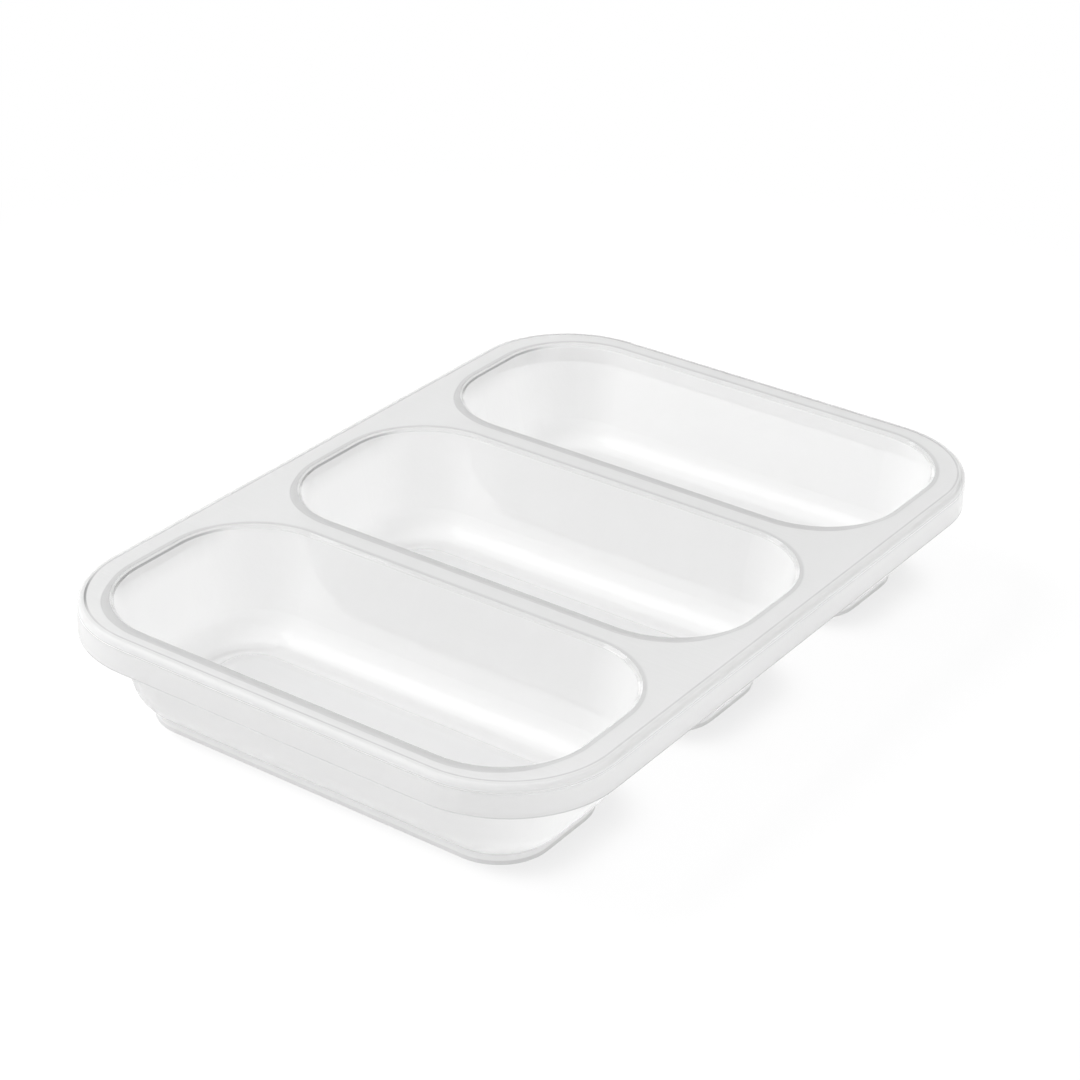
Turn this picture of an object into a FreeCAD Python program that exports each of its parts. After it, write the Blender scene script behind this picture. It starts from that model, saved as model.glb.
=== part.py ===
import FreeCAD, Part
import Sketcher
import math
import os

# A thin-walled tray for portions of powder. It is one moulding: a flat deck, three drafted wells side by
# side, a rounded edge that turns down into a shallow skirt, and a low foot under each well.
# X runs along each well, Y runs across the row of wells and Z is up. The tray stands on the rims of its
# feet at Z = 0, and the origin is the middle of its footprint.

NODE = "tray"
LEVEL_TOLERANCE = 1e-4

# Driving sizes, in millimetres and degrees.
SIZES = {
    "tray_height": 24.6,
    "well_count": 3,
    "well_gap": 7.0,
    # the mouth of a well, and the bevel of its lip
    "well_length": 100.0,
    "well_width": 46.0,
    "well_corner": 17.2,
    "lip_bevel": 0.6,
    # the bowl below the mouth
    "well_draft": 13.5,
    "floor_round": 8.4,
    "well_wall": 1.3,
    "floor_wall": 1.3,
    # the deck round the wells, and its turned-down skirt
    "end_border": 6.6,
    "side_border": 5.6,
    "deck_corner": 22.6,
    "deck_wall": 1.5,
    "edge_round": 1.2,
    "skirt_depth": 6.4,
    "skirt_wall": 1.3,
    "skirt_draft": 1.0,
    # the foot under a well, recessed so that the tray stands on its rim
    "foot_inset": 6.7,
    "foot_width": 1.6,
    "foot_recess": 0.6,
}

# Sizes worked out from the driving ones.
DERIVED = {
    "well_pitch": "=well_width + well_gap",
    "floor_level": "=foot_recess + floor_wall",
    "bowl_top": "=tray_height - deck_wall",
    "bowl_depth": "=bowl_top - foot_recess",
    "bowl_growth": "=well_wall / cos(well_draft * 1 deg) - deck_wall * tan(well_draft * 1 deg)",
    "bowl_length": "=well_length + 2 * bowl_growth",
    "bowl_width": "=well_width + 2 * bowl_growth",
    "bowl_corner": "=well_corner + bowl_growth",
    "bowl_round": "=floor_round + well_wall",
    "well_depth": "=tray_height - floor_level",
    "foot_top": "=foot_recess + bowl_round / 2",
    "foot_length": "=well_length - 2 * foot_inset",
    "foot_breadth": "=well_width - 2 * foot_inset",
    "foot_corner": "=well_corner - foot_inset",
    "first_well": "=-well_pitch * (well_count - 1) / 2",
    "deck_length": "=well_length + 2 * end_border",
    "deck_width": "=well_pitch * (well_count - 1) + well_width + 2 * side_border",
    "hollow_length": "=deck_length - 2 * skirt_wall",
    "hollow_width": "=deck_width - 2 * skirt_wall",
    "hollow_corner": "=deck_corner - skirt_wall",
    "hollow_height": "=skirt_depth - deck_wall",
}

doc = FreeCAD.newDocument("PortionTray")


def make_sheet():
    sheet = doc.addObject("Spreadsheet::Sheet", "Sizes")
    for row, (name, value) in enumerate([*SIZES.items(), *DERIVED.items()], start=1):
        sheet.set(f"A{row}", name)
        sheet.set(f"B{row}", str(value))
        sheet.setAlias(f"B{row}", name)
    doc.recompute()
    return sheet


def bind(item, **formulas):
    """Ties properties to formulas of the sheet's names, each written in braces."""
    for name, formula in formulas.items():
        item.setExpression(name, formula.replace("{", "Sizes.").replace("}", ""))


def origin_part(body, role):
    """One of a body's own origin planes or axes."""
    return next(part for part in body.Origin.OriginFeatures if part.Role == role)


def level_sketch(body, name, height, along_row="0"):
    """A level sketch at a height above the table, moved along the row of wells."""
    sketch = body.newObject("Sketcher::SketchObject", name)
    sketch.AttachmentSupport = [(origin_part(body, "XY_Plane"), "")]
    sketch.MapMode = "FlatFace"
    bind(sketch, **{"AttachmentOffset.Base.z": height, "AttachmentOffset.Base.y": along_row})
    return sketch


def draw_rounded_rectangle(sketch, name, length, width, corner):
    """A rounded rectangle about the sketch's origin. Its sizes are constraints bound to formulas."""
    reach_x, reach_y, radius = 30.0, 15.0, 5.0
    quarter = math.pi / 2
    signs = [(1, 1), (-1, 1), (-1, -1), (1, -1)]
    centres = [FreeCAD.Vector(reach_x * along, reach_y * across, 0) for along, across in signs]
    first = sketch.GeometryCount
    for turn, centre in enumerate(centres):
        circle = Part.Circle(centre, FreeCAD.Vector(0, 0, 1), radius)
        sketch.addGeometry(Part.ArcOfCircle(circle, turn * quarter, (turn + 1) * quarter))
    for turn, centre in enumerate(centres):
        angle = (turn + 1) * quarter
        outward = FreeCAD.Vector(math.cos(angle), math.sin(angle), 0) * radius
        sketch.addGeometry(Part.LineSegment(centre + outward, centres[(turn + 1) % 4] + outward))

    arcs = range(first, first + 4)
    north, west, south, east = sides = range(first + 4, first + 8)
    for turn in range(4):
        sketch.addConstraint(Sketcher.Constraint("Tangent", arcs[turn], 2, sides[turn], 1))
        sketch.addConstraint(Sketcher.Constraint("Tangent", sides[turn], 2, arcs[(turn + 1) % 4], 1))
    for other in arcs[1:]:
        sketch.addConstraint(Sketcher.Constraint("Equal", arcs[0], other))
    for side in (north, south):
        sketch.addConstraint(Sketcher.Constraint("Horizontal", side))
    for side in (west, east):
        sketch.addConstraint(Sketcher.Constraint("Vertical", side))
    sketch.addConstraint(Sketcher.Constraint("Symmetric", arcs[0], 3, arcs[2], 3, -1, 1))

    dimensions = {
        "length": (Sketcher.Constraint("DistanceX", west, 1, east, 1, 2 * (reach_x + radius)), length),
        "width": (Sketcher.Constraint("DistanceY", south, 1, north, 1, 2 * (reach_y + radius)), width),
        "corner": (Sketcher.Constraint("Radius", arcs[0], radius), corner),
    }
    for dimension, (constraint, formula) in dimensions.items():
        index = sketch.addConstraint(constraint)
        sketch.renameConstraint(index, f"{name}_{dimension}")
        bind(sketch, **{f"Constraints.{name}_{dimension}": formula})


def extrude_down(body, kind, name, sketch, length, taper="0"):
    """A pad or pocket that goes down from its sketch and widens by its taper."""
    feature = body.newObject(f"PartDesign::{kind}", name)
    feature.Profile = sketch
    feature.Reversed = kind == "Pad"
    bind(feature, Length=length, TaperAngle=taper)
    doc.recompute()


def repeat_along_row(body, name):
    """Repeats the body's last feature, made at the first well, for the others in the row."""
    feature = body.Tip
    pattern = body.newObject("PartDesign::LinearPattern", name)
    pattern.Originals = [feature]
    pattern.Direction = (origin_part(body, "Y_Axis"), [""])
    pattern.Mode = "Spacing"
    bind(pattern, Offset="{well_pitch}", Occurrences="{well_count}")
    body.Tip = pattern
    doc.recompute()


def size(name):
    """The value of a named size."""
    return float(sheet.get(name))


def dress_edges(body, kind, name, height, **formulas):
    """A fillet or chamfer of every edge of a body that lies level at a height."""
    edges = []
    for number, edge in enumerate(body.Shape.Edges, start=1):
        box = edge.BoundBox
        if max(abs(box.ZMin - height), abs(box.ZMax - height)) < LEVEL_TOLERANCE:
            edges.append(f"Edge{number}")
    base = body.Tip
    feature = body.newObject(f"PartDesign::{kind}", name)
    feature.Base = (base, edges)
    bind(feature, **formulas)
    doc.recompute()


def make_deck():
    """The flat deck with its rounded edge, hollow below so that a thin skirt hangs from it."""
    outline = level_sketch(tray, "DeckOutline", "{tray_height}")
    draw_rounded_rectangle(outline, "deck", "{deck_length}", "{deck_width}", "{deck_corner}")
    extrude_down(tray, "Pad", "Deck", outline, "{skirt_depth}", "{skirt_draft}")
    dress_edges(tray, "Fillet", "DeckEdge", size("tray_height"), Radius="{edge_round}")
    hollow = level_sketch(tray, "SkirtHollowOutline", "{bowl_top}")
    draw_rounded_rectangle(hollow, "hollow", "{hollow_length}", "{hollow_width}", "{hollow_corner}")
    extrude_down(tray, "Pocket", "SkirtHollow", hollow, "{hollow_height}", "{skirt_draft}")


def make_bowls():
    """The outside of the wells: drafted bowls with a generous round where wall meets floor."""
    outline = level_sketch(tray, "BowlOutline", "{bowl_top}", "{first_well}")
    draw_rounded_rectangle(outline, "bowl", "{bowl_length}", "{bowl_width}", "{bowl_corner}")
    extrude_down(tray, "Pad", "Bowl", outline, "{bowl_depth}", "-{well_draft}")
    repeat_along_row(tray, "BowlRow")
    dress_edges(tray, "Fillet", "BowlRound", size("foot_recess"), Radius="{bowl_round}")


def make_feet():
    """A low foot under each bowl, recessed within its rim."""
    outline = level_sketch(tray, "FootOutline", "{foot_top}", "{first_well}")
    draw_rounded_rectangle(outline, "foot", "{foot_length}", "{foot_breadth}", "{foot_corner}")
    extrude_down(tray, "Pad", "Foot", outline, "{foot_top}")
    repeat_along_row(tray, "FootRow")
    recess = level_sketch(tray, "RecessOutline", "{foot_recess}", "{first_well}")
    draw_rounded_rectangle(
        recess,
        "recess",
        "{foot_length} - 2 * {foot_width}",
        "{foot_breadth} - 2 * {foot_width}",
        "{foot_corner} - {foot_width}",
    )
    extrude_down(tray, "Pocket", "Recess", recess, "{foot_recess}")
    repeat_along_row(tray, "RecessRow")


def make_well_core():
    """The form that fills the wells, one wall's thickness within the bowls."""
    mouth = level_sketch(core, "WellMouth", "{tray_height}", "{first_well}")
    draw_rounded_rectangle(mouth, "well", "{well_length}", "{well_width}", "{well_corner}")
    extrude_down(core, "Pad", "Well", mouth, "{well_depth}", "-{well_draft}")
    repeat_along_row(core, "WellRow")
    dress_edges(core, "Fillet", "WellFloorRound", size("floor_level"), Radius="{floor_round}")


def cut_wells():
    """Takes the core out of the tray and bevels the lip of each mouth."""
    cut = tray.newObject("PartDesign::Boolean", "Wells")
    cut.Type = "Cut"
    cut.setObjects([core])
    doc.recompute()
    dress_edges(tray, "Chamfer", "WellLip", size("tray_height"), Size="{lip_bevel}")


def check(item):
    if {"Invalid", "Error"} & set(item.State):
        raise RuntimeError(f"{item.Name} failed: {item.State}")


sheet = make_sheet()
tray = doc.addObject("PartDesign::Body", "Tray")
tray.Label = NODE
tray.Placement = FreeCAD.Placement()
make_deck()
make_bowls()
make_feet()
core = doc.addObject("PartDesign::Body", "WellCore")
make_well_core()
cut_wells()
doc.recompute()

for item in doc.Objects:
    check(item)
if tray.Shape.isNull() or not tray.Shape.isValid() or len(tray.Shape.Solids) != 1:
    raise RuntimeError("the tray is not one valid solid")

os.makedirs("parts", exist_ok=True)
tray.Shape.exportStep(f"parts/{NODE}.step")
print(f"{NODE}: {tray.Shape.Volume:.0f} cubic mm, {len(tray.Shape.Faces)} faces")
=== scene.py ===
import bpy
import math
from mathutils import Matrix, Vector


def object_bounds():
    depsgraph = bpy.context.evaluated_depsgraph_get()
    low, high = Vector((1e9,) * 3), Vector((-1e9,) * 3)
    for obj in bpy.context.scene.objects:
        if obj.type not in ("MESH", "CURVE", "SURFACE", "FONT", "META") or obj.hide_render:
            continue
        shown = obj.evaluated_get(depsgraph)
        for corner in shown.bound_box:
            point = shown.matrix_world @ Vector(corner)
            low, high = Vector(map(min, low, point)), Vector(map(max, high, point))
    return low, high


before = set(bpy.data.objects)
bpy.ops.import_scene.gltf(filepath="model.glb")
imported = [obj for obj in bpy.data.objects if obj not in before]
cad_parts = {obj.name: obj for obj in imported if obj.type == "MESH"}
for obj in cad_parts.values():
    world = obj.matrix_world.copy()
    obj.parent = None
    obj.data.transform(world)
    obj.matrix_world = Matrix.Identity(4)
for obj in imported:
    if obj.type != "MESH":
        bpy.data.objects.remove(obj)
cad_low, cad_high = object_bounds()

MM = 0.001


class Socket:
    """An output in a node tree. Arithmetic on it adds the Math nodes that the expression needs."""

    def __init__(self, tree, output=None):
        self.tree = tree
        self.output = output

    def node(self, kind, settings=None, inputs=None, out=0):
        """Adds a node, sets it up, fills its sockets with values or links, and gives one of its outputs."""
        made = self.tree.nodes.new(kind)
        for name, value in (settings or {}).items():
            setattr(made, name, value)
        for name, value in (inputs or {}).items():
            if isinstance(value, Socket):
                self.tree.links.new(value.output, made.inputs[name])
            else:
                made.inputs[name].default_value = value
        return Socket(self.tree, made.outputs[out]) if made.outputs else None

    def maths(self, operation, *values):
        return self.node("ShaderNodeMath", {"operation": operation}, dict(enumerate(values)))

    def __add__(self, other):
        return self.maths("ADD", self, other)

    def __radd__(self, other):
        return self.maths("ADD", other, self)

    def __sub__(self, other):
        return self.maths("SUBTRACT", self, other)

    def __rsub__(self, other):
        return self.maths("SUBTRACT", other, self)

    def __mul__(self, other):
        return self.maths("MULTIPLY", self, other)

    def __truediv__(self, other):
        return self.maths("DIVIDE", self, other)

    def __abs__(self):
        return self.maths("ABSOLUTE", self)

    def at_least(self, other):
        return self.maths("MAXIMUM", self, other)

    def at_most(self, other):
        return self.maths("MINIMUM", self, other)

    def ramp(self, low, high, start, end):
        """start below low, end above high, and a smooth step between them."""
        settings = {"interpolation_type": "SMOOTHSTEP"}
        span = {"Value": self, "From Min": low, "From Max": high, "To Min": start, "To Max": end}
        return self.node("ShaderNodeMapRange", settings, span)

    def rises(self, low, high):
        return self.ramp(low, high, 0.0, 1.0)

    def falls(self, low, high):
        return self.ramp(low, high, 1.0, 0.0)

    def band(self, start, full, fade, end):
        """1 from full to fade, with a smooth step at each side, and 0 outside start and end."""
        return self.rises(start, full) * self.falls(fade, end)

    def part(self, axis):
        """One axis of a vector."""
        return self.node("ShaderNodeSeparateXYZ", inputs={0: self}, out=axis)

    def blend(self, first, second):
        """first where this is 0 and second where it is 1. Either may be a colour."""
        settings = {"data_type": "RGBA"}
        return self.node("ShaderNodeMix", settings, {0: self, 6: first, 7: second}, out=2)

    def choose(self, first, second):
        """The shader first where this is 0 and the shader second where it is 1."""
        return self.node("ShaderNodeMixShader", inputs={0: self, 1: first, 2: second})


def new_material(name):
    """An empty material, and the start of its node tree."""
    material = bpy.data.materials.new(name)
    material.use_nodes = True
    material.node_tree.nodes.clear()
    return material, Socket(material.node_tree)


def grey(level):
    return (level, level, level, 1.0)


def polar(turn, height, distance):
    """A point around the tray: turn from +Y towards -X, and height above the floor, in degrees."""
    turn, height = math.radians(turn), math.radians(height)
    flat = math.cos(height) * distance
    return (-math.sin(turn) * flat, math.cos(turn) * flat, math.sin(height) * distance)


# The camera's direction and lean are in degrees, its distance in metres and its lens in millimetres.
CAMERA_AIM = Vector((3.05 * MM, -5.24 * MM, cad_high[2]))
CAMERA_TURN = 214.596
CAMERA_HEIGHT = 28.378
CAMERA_LEAN = 1.564
CAMERA_DISTANCE = 0.52772
CAMERA_LENS = 93.10933
CAMERA_SENSOR = 36.0
CAMERA_CLIP_START = 0.01


def add_camera():
    """A long lens that looks down on the tray from the side of its near well."""
    camera = bpy.data.cameras.new("camera")
    camera.sensor_width = CAMERA_SENSOR
    camera.lens = CAMERA_LENS
    camera.clip_start = CAMERA_CLIP_START
    holder = bpy.data.objects.new("camera", camera)
    bpy.context.collection.objects.link(holder)
    back = Vector(polar(CAMERA_TURN, CAMERA_HEIGHT, CAMERA_DISTANCE))
    lean = Matrix.Rotation(math.radians(CAMERA_LEAN), 3, "Z")
    look = back.to_track_quat("Z", "Y").to_matrix() @ lean
    holder.matrix_world = Matrix.Translation(CAMERA_AIM + back) @ look.to_4x4()
    bpy.context.scene.camera = holder


# Brightness of the studio as polished plastic mirrors and refracts it.
BACKDROP_LIGHT = 1.0
FLAG_LIGHT = 0.20
CEILING_LIGHT = 0.60
SOFT_BOX_LIGHT = 2.3
# Where the flags and the ceiling begin, as sines of the height above the horizon.
FLAG_START = (0.17, 0.26)
CEILING_START = (0.72, 0.92)
# The even light that falls on matt surfaces, and how much it leans to the tray's left and near sides.
PLAIN_LIGHT = 0.735
LEFT_LEAN = 0.38
NEAR_LEAN = 0.50
# Where the soft box fades out, as shares of its half width and half height.
SOFT_BOX_SIDES = (0.95, 1.03)
SOFT_BOX_ENDS = (0.94, 1.04)
# Cosines of the angle from the soft box's middle. It fades out between the first two, and no division
# goes below the last.
SOFT_BOX_FRONT = (0.1, 0.3)
LEAST_AHEAD = 0.01


def unscattered(start):
    """1 for what the lens sees directly, mirrored or through clear plastic, and 0 for all other light."""
    seen = start.node("ShaderNodeLightPath", out="Is Camera Ray")
    mirrored = start.node("ShaderNodeLightPath", out="Is Glossy Ray")
    refracted = start.node("ShaderNodeLightPath", out="Is Transmission Ray")
    scattered = start.node("ShaderNodeLightPath", out="Diffuse Depth")
    return (seen + mirrored + refracted - scattered).at_least(0.0).at_most(1.0)


def soft_box(direction, turn, height, half_width, half_height):
    """1 towards a soft box, fading at its edges. Its half sizes are tangents of the angles it fills."""
    axis = Vector(polar(turn, height, 1.0))
    side = axis.cross(Vector((0.0, 0.0, 1.0))).normalized()
    rise = side.cross(axis)

    def along(line):
        settings = {"operation": "DOT_PRODUCT"}
        return direction.node("ShaderNodeVectorMath", settings, {0: direction, 1: tuple(line)}, out="Value")

    ahead = along(axis).at_least(LEAST_AHEAD)
    across = abs(along(side) / ahead) / half_width
    up = abs(along(rise) / ahead) / half_height
    return across.falls(*SOFT_BOX_SIDES) * up.falls(*SOFT_BOX_ENDS) * ahead.rises(*SOFT_BOX_FRONT)


def add_studio():
    """A white backdrop up to the flags, dark flags, a grey ceiling, one soft box and an even fill light."""
    world = bpy.data.worlds.new("studio")
    world.use_nodes = True
    world.node_tree.nodes.clear()
    start = Socket(world.node_tree)
    direction = start.node("ShaderNodeTexCoord", out="Generated")
    right, away, up = (direction.part(axis) for axis in "XYZ")
    flags = up.rises(*FLAG_START).blend(grey(BACKDROP_LIGHT), grey(FLAG_LIGHT))
    overhead = up.rises(*CEILING_START).blend(flags, grey(CEILING_LIGHT))
    box = soft_box(direction, turn=125.0, height=40.0, half_width=0.47, half_height=0.19)
    seen = box.blend(overhead, grey(SOFT_BOX_LIGHT))
    plain = PLAIN_LIGHT - right * LEFT_LEAN - away * NEAR_LEAN
    colour = unscattered(start).blend(plain, seen)
    shown = start.node("ShaderNodeBackground", inputs={"Color": colour, "Strength": 1.0})
    start.node("ShaderNodeOutputWorld", inputs={"Surface": shown})
    bpy.context.scene.world = world


FLOOR_SIZE = 6.0
FLOOR_COLOUR = 0.86
FLOOR_LIFT = 0.055
# How far from the tray's middle the paper turns into a plain white sweep, in metres.
SWEEP_START = (0.13, 0.26)


def add_floor():
    """A pale matt sweep. It shows as white to the lens and through the plastic, and keeps its shadows."""
    bpy.ops.object.select_all(action="DESELECT")
    bpy.ops.mesh.primitive_plane_add(size=FLOOR_SIZE, location=(0.0, 0.0, cad_low[2]))
    floor = bpy.context.object
    floor.name = "floor"
    material, start = new_material("floor_paper")
    paper = start.node("ShaderNodeBsdfDiffuse", inputs={"Color": grey(FLOOR_COLOUR)})
    glow = start.node("ShaderNodeEmission", inputs={"Color": grey(1.0), "Strength": FLOOR_LIFT})
    lifted = start.node("ShaderNodeAddShader", inputs={0: paper, 1: glow})
    sweep = start.node("ShaderNodeEmission", inputs={"Color": grey(1.0), "Strength": 1.0})
    place = start.node("ShaderNodeTexCoord", out="Object")
    away = start.node("ShaderNodeVectorMath", {"operation": "LENGTH"}, {0: place}, out="Value")
    shown = away.rises(*SWEEP_START).choose(lifted, sweep)
    surface = unscattered(start).choose(paper, shown)
    start.node("ShaderNodeOutputMaterial", inputs={"Surface": surface})
    floor.data.materials.append(material)


def add_lamp(name, place, size, power):
    """A soft lamp that points at the tray, and that its gloss doesn't mirror."""
    light = bpy.data.lights.new(name, "AREA")
    light.shape = "RECTANGLE"
    light.size, light.size_y = size
    light.energy = power
    holder = bpy.data.objects.new(name, light)
    bpy.context.collection.objects.link(holder)
    look = Vector(place).to_track_quat("Z", "Y")
    holder.matrix_world = Matrix.Translation(Vector(place)) @ look.to_matrix().to_4x4()
    holder.visible_glossy = False
    holder.visible_transmission = False


# The tray's own sizes, in millimetres.
DECK_HALF = Vector((56.6, 81.6))
DECK_CORNER = 22.6
DECK_TOP = cad_high[2] / MM
DECK_WALL = 1.5
WELL_PITCH = 53.0
WELL_HALF = Vector((50.0, 23.0))
WELL_CORNER = 17.2

# Where finishes meet, in millimetres. A pair is the start and end of one smooth step. Four numbers are a
# band: its start, where it is full, where it fades and its end.
# Depths below the deck's top.
TOP_DEPTH = (0.05, 0.15)
LIP_DEPTH = (0.58, 0.70)
UNDER_LIP_DEPTH = (1.0, 6.0)
EDGE_DEPTH = (1.20, 2.40)
SKIRT_DEPTH = (1.4, 1.5, 6.2, 6.4)
HEM_DEPTH = (6.10, 6.22, 6.40, 6.50)
# Heights above the floor.
FOOT_HEIGHT = (0.70, 1.00)
WELL_FLOOR_HEIGHT = (1.80, 1.95, 2.10, 2.25)
BASE_HEIGHT = (1.6, 3.2)
LOW_HEIGHT = (1.5, 7.0)
# Distances in from the deck's outline.
EDGE_INSET = (1.10, 1.25)
SKIRT_INSET = (0.7, 0.9, 1.6, 1.8)
BORDER_INSET = (1.15, 1.40, 1.55, 1.85)
HEM_INSET = (1.7, 1.9)
# Distances out from the outline of a well's mouth, or in from it where they are negative.
FOOT_REACH = (-7.4, -7.0)
WELL_REACH = (0.0, 0.1)
REFLECTION_REACH = (0.12, 0.26)
UNDERSIDE_REACH = (0.3, 0.5)
RIM_START = (0.45, 0.65)
LIP_REACH = (0.60, 0.66)
RIM_END = (1.10, 1.70)
NEAR_RIM_EXTRA = 0.9
# Distances off the level of the deck's underside.
UNDERSIDE_LEVEL = (0.04, 0.08)
# Places along a well, across it, and across the whole tray.
UNDER_LIP_LEFT = (-49.0, -45.5)
REFLECTION_LEFT = (-50.0, -46.0)
CORNER_LEFT = (-50.0, -44.0)
WELL_NEAR = (-23.2, -12.0)
WELL_FAR = (6.0, 18.0)
CORNER_NEAR = (-72.0, -62.0)

# How much painted shade each place gets, up to 1.
FLAT_SHADE = 0.44
UNDER_LIP_SHADE = 0.40
WELL_FLOOR_SHADE = 0.45
LIP_SHADE = 0.60
BORDER_SHADE = 0.60
FAR_RIM_LOSS = 0.50
HEM_SHADE = 0.80
FOOT_SHADE = 0.90
# Painted dark reflections at the left end of each mouth and at the deck's near left corner.
LIP_REFLECTION_SHARE = 0.80
CORNER_REFLECTION_SHARE = 0.70

# How milky the plastic is, what each place adds to that, and the share that it takes away.
MILKINESS = 0.55
MATT_MILK = 0.29
BASE_MILK = 0.05
# More milk where the painted rim shade and the painted dark reflections lie, so that they show.
RIM_SHADE_MILK = 0.20
REFLECTION_MILK = 0.40
LIP_CLEARING = 0.56
EDGE_CLEARING = 0.21

# Roughness of the polished plastic, and what each place adds to it.
ROUGHNESS = 0.045
EDGE_ROUGHNESS = 0.07
MATT_ROUGHNESS = 0.27
BASE_ROUGHNESS = 0.30

REFRACTIVE_INDEX = 1.49
CLEAR_COLOUR = 0.99
MILK_COLOUR = 0.92
SHADED_COLOUR = 0.56
# The colour of the painted dark reflections.
PAINTED_REFLECTION_COLOUR = 0.10
# The share of scattered light that goes on through the plastic.
PASSED_ON = 0.5
# The share of the lamp's light that each surface lets into the shadow, and the share near the floor.
LAMP_SHARE = 0.94
LOW_LAMP_SHARE = 0.66

# Fine waves along the wells, and a slower unevenness. The heights are in metres.
POLISH_STRETCH = (0.05, 1.0, 0.6)
POLISH_SCALE = 1100.0
POLISH_DETAIL = 2.0
POLISH_BREAKUP = 0.6
POLISH_HEIGHT = 0.030 * MM
SWELL_SCALE = 90.0
SWELL_DETAIL = 1.0
SWELL_HEIGHT = 0.05 * MM


def outside(along, across, half, corner):
    """How far a point lies outside a rounded rectangle about the origin."""
    over_x = (abs(along) - (half.x - corner)).at_least(0.0)
    over_y = (abs(across) - (half.y - corner)).at_least(0.0)
    return along.maths("SQRT", over_x * over_x + over_y * over_y) - corner


def moulded_surface(start, place):
    """The normal of a polished moulding: the mould's fine waves over slow swells."""
    stretched = start.node("ShaderNodeMapping", inputs={"Vector": place, "Scale": POLISH_STRETCH})
    polish = {"Scale": POLISH_SCALE, "Detail": POLISH_DETAIL, "Roughness": POLISH_BREAKUP}
    strokes = start.node("ShaderNodeTexNoise", inputs={"Vector": stretched, **polish})
    slow = {"Scale": SWELL_SCALE, "Detail": SWELL_DETAIL}
    swell = start.node("ShaderNodeTexNoise", inputs={"Vector": place, **slow})
    height = strokes * POLISH_HEIGHT + swell * SWELL_HEIGHT
    return start.node("ShaderNodeBump", inputs={"Height": height, "Distance": 1.0, "Strength": 1.0})


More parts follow.
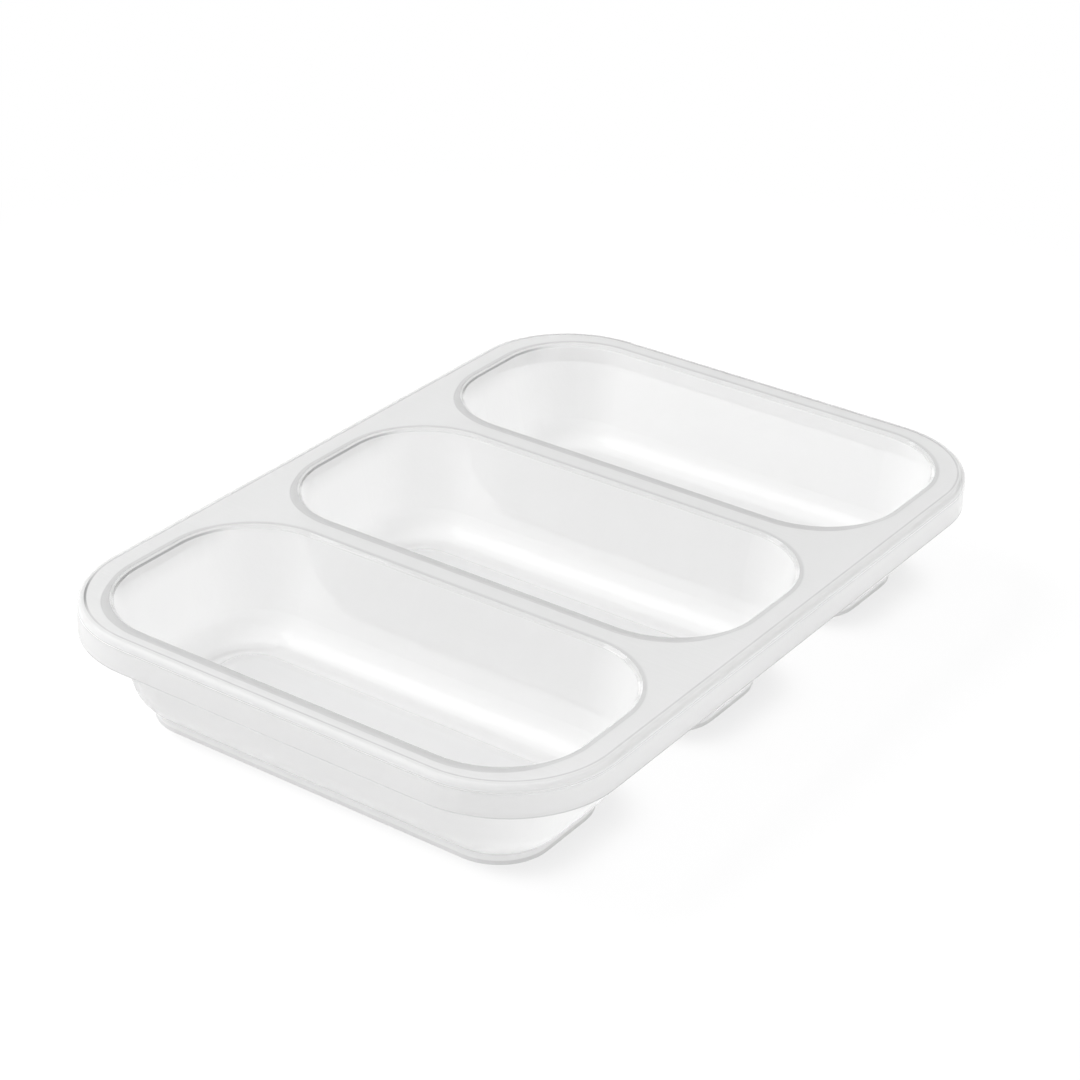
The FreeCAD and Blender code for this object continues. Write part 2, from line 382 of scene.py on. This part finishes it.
def clear_plastic():
    """Clear, faintly milky plastic, polished on show and matt under the deck, with painted shade on its
    edges, round the wells' mouths and on its flat faces, and painted dark reflections.
    """
    material, start = new_material("clear_plastic")
    place = start.node("ShaderNodeTexCoord", out="Object")
    scaled = start.node("ShaderNodeVectorMath", {"operation": "SCALE"}, {0: place, "Scale": 1.0 / MM})
    x, y, z = (scaled.part(axis) for axis in "XYZ")
    row = start.maths("ROUND", (y / WELL_PITCH).at_least(-1.0).at_most(1.0))
    across = y - row * WELL_PITCH
    depth = DECK_TOP - z
    inset = 0.0 - outside(x, y, DECK_HALF, DECK_CORNER)
    reach = outside(x, across, WELL_HALF, WELL_CORNER)

    # Each of these is 1 in its own place and 0 elsewhere.
    under_deck = abs(depth - DECK_WALL).falls(*UNDERSIDE_LEVEL) * reach.rises(*UNDERSIDE_REACH)
    within_skirt = inset.band(*SKIRT_INSET) * depth.band(*SKIRT_DEPTH)
    matt = (under_deck + within_skirt).at_most(1.0)
    base = z.falls(*BASE_HEIGHT)
    top = depth.falls(*TOP_DEPTH)
    lip = reach.falls(*LIP_REACH) * depth.falls(*LIP_DEPTH)
    deck_edge = inset.falls(*EDGE_INSET) * depth.falls(*EDGE_DEPTH)
    border = inset.band(*BORDER_INSET) * top
    hem = depth.band(*HEM_DEPTH) * inset.falls(*HEM_INSET)
    foot = z.falls(*FOOT_HEIGHT) * reach.rises(*FOOT_REACH)
    well_floor = z.band(*WELL_FLOOR_HEIGHT)
    under_lip = x.falls(*UNDER_LIP_LEFT) * depth.falls(*UNDER_LIP_DEPTH) * reach.falls(*WELL_REACH)

    # Painted shade round each well's mouth on the deck's top, where the walls seen through the deck look
    # dark, most at the near side.
    rim_shade_end = (reach - across.falls(*WELL_NEAR) * NEAR_RIM_EXTRA).falls(*RIM_END)
    rim_shade = reach.rises(*RIM_START) * rim_shade_end * top * (1.0 - across.rises(*WELL_FAR) * FAR_RIM_LOSS)

    # Painted dark reflections: thin dark lines at the left end of each mouth and at the deck's near left
    # corner.
    lip_reflection_line = lip * reach.falls(*REFLECTION_REACH) * x.falls(*REFLECTION_LEFT)
    corner_reflection_line = border * x.falls(*CORNER_LEFT) * y.falls(*CORNER_NEAR)
    painted_reflection = lip_reflection_line * LIP_REFLECTION_SHARE + corner_reflection_line * CORNER_REFLECTION_SHARE

    # Painted shade on the flat faces, under the lips, on the wells' floors and along the edges.
    faces = (top + matt) * FLAT_SHADE + under_lip * UNDER_LIP_SHADE + well_floor * WELL_FLOOR_SHADE
    edges = lip * LIP_SHADE + border * BORDER_SHADE + hem * HEM_SHADE + foot * FOOT_SHADE
    shade = (faces + edges + rim_shade + painted_reflection).at_most(1.0)

    kept_milk = 1.0 - lip * LIP_CLEARING - deck_edge * EDGE_CLEARING
    line_milk = rim_shade * RIM_SHADE_MILK + painted_reflection * REFLECTION_MILK
    milky = (MILKINESS + matt * MATT_MILK + base * BASE_MILK) * kept_milk + line_milk
    roughness = ROUGHNESS + matt * MATT_ROUGHNESS + base * BASE_ROUGHNESS + deck_edge * EDGE_ROUGHNESS
    gloss = {
        "Roughness": roughness,
        "Normal": moulded_surface(start, place),
        "IOR": REFRACTIVE_INDEX,
    }
    plastic = start.node(
        "ShaderNodeBsdfPrincipled",
        inputs={"Base Color": grey(CLEAR_COLOUR), "Transmission Weight": 1.0, **gloss},
    )
    # The milk's colour carries the painted shade and the painted dark reflections.
    shaded = shade.blend(grey(MILK_COLOUR), grey(SHADED_COLOUR))
    milk_and_painted_shade = painted_reflection.blend(shaded, grey(PAINTED_REFLECTION_COLOUR))
    scattered_back = start.node("ShaderNodeBsdfPrincipled", inputs={"Base Color": milk_and_painted_shade, **gloss})
    scattered_on = start.node("ShaderNodeBsdfTranslucent", inputs={"Color": grey(MILK_COLOUR)})
    haze = (PASSED_ON - shade * PASSED_ON).choose(scattered_back, scattered_on)
    body = milky.choose(plastic, haze)

    # Lamps shine through the plastic into the shadow, and the even light passes through it freely.
    high_light = start.node("ShaderNodeBsdfTransparent", inputs={"Color": grey(LAMP_SHARE)})
    low_light = start.node("ShaderNodeBsdfTransparent", inputs={"Color": grey(LOW_LAMP_SHARE)})
    lamp_light = z.falls(*LOW_HEIGHT).choose(high_light, low_light)
    soft_light = start.node("ShaderNodeBsdfTransparent", inputs={"Color": grey(1.0)})
    from_lamp = start.node("ShaderNodeLightPath", out="Is Shadow Ray")
    from_matt = start.node("ShaderNodeLightPath", out="Is Diffuse Ray")
    surface = from_matt.choose(from_lamp.choose(body, lamp_light), soft_light)
    start.node("ShaderNodeOutputMaterial", inputs={"Surface": surface})
    return material


def finish_tray():
    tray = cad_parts["tray"]
    tray.data.materials.clear()
    tray.data.materials.append(clear_plastic())


bpy.context.scene.view_settings.view_transform = "Standard"
add_camera()
add_studio()
add_floor()
key_place = polar(turn=106.0, height=44.0, distance=2.4)
add_lamp("key_lamp", key_place, size=(1.5, 1.2), power=39.0)
finish_tray()
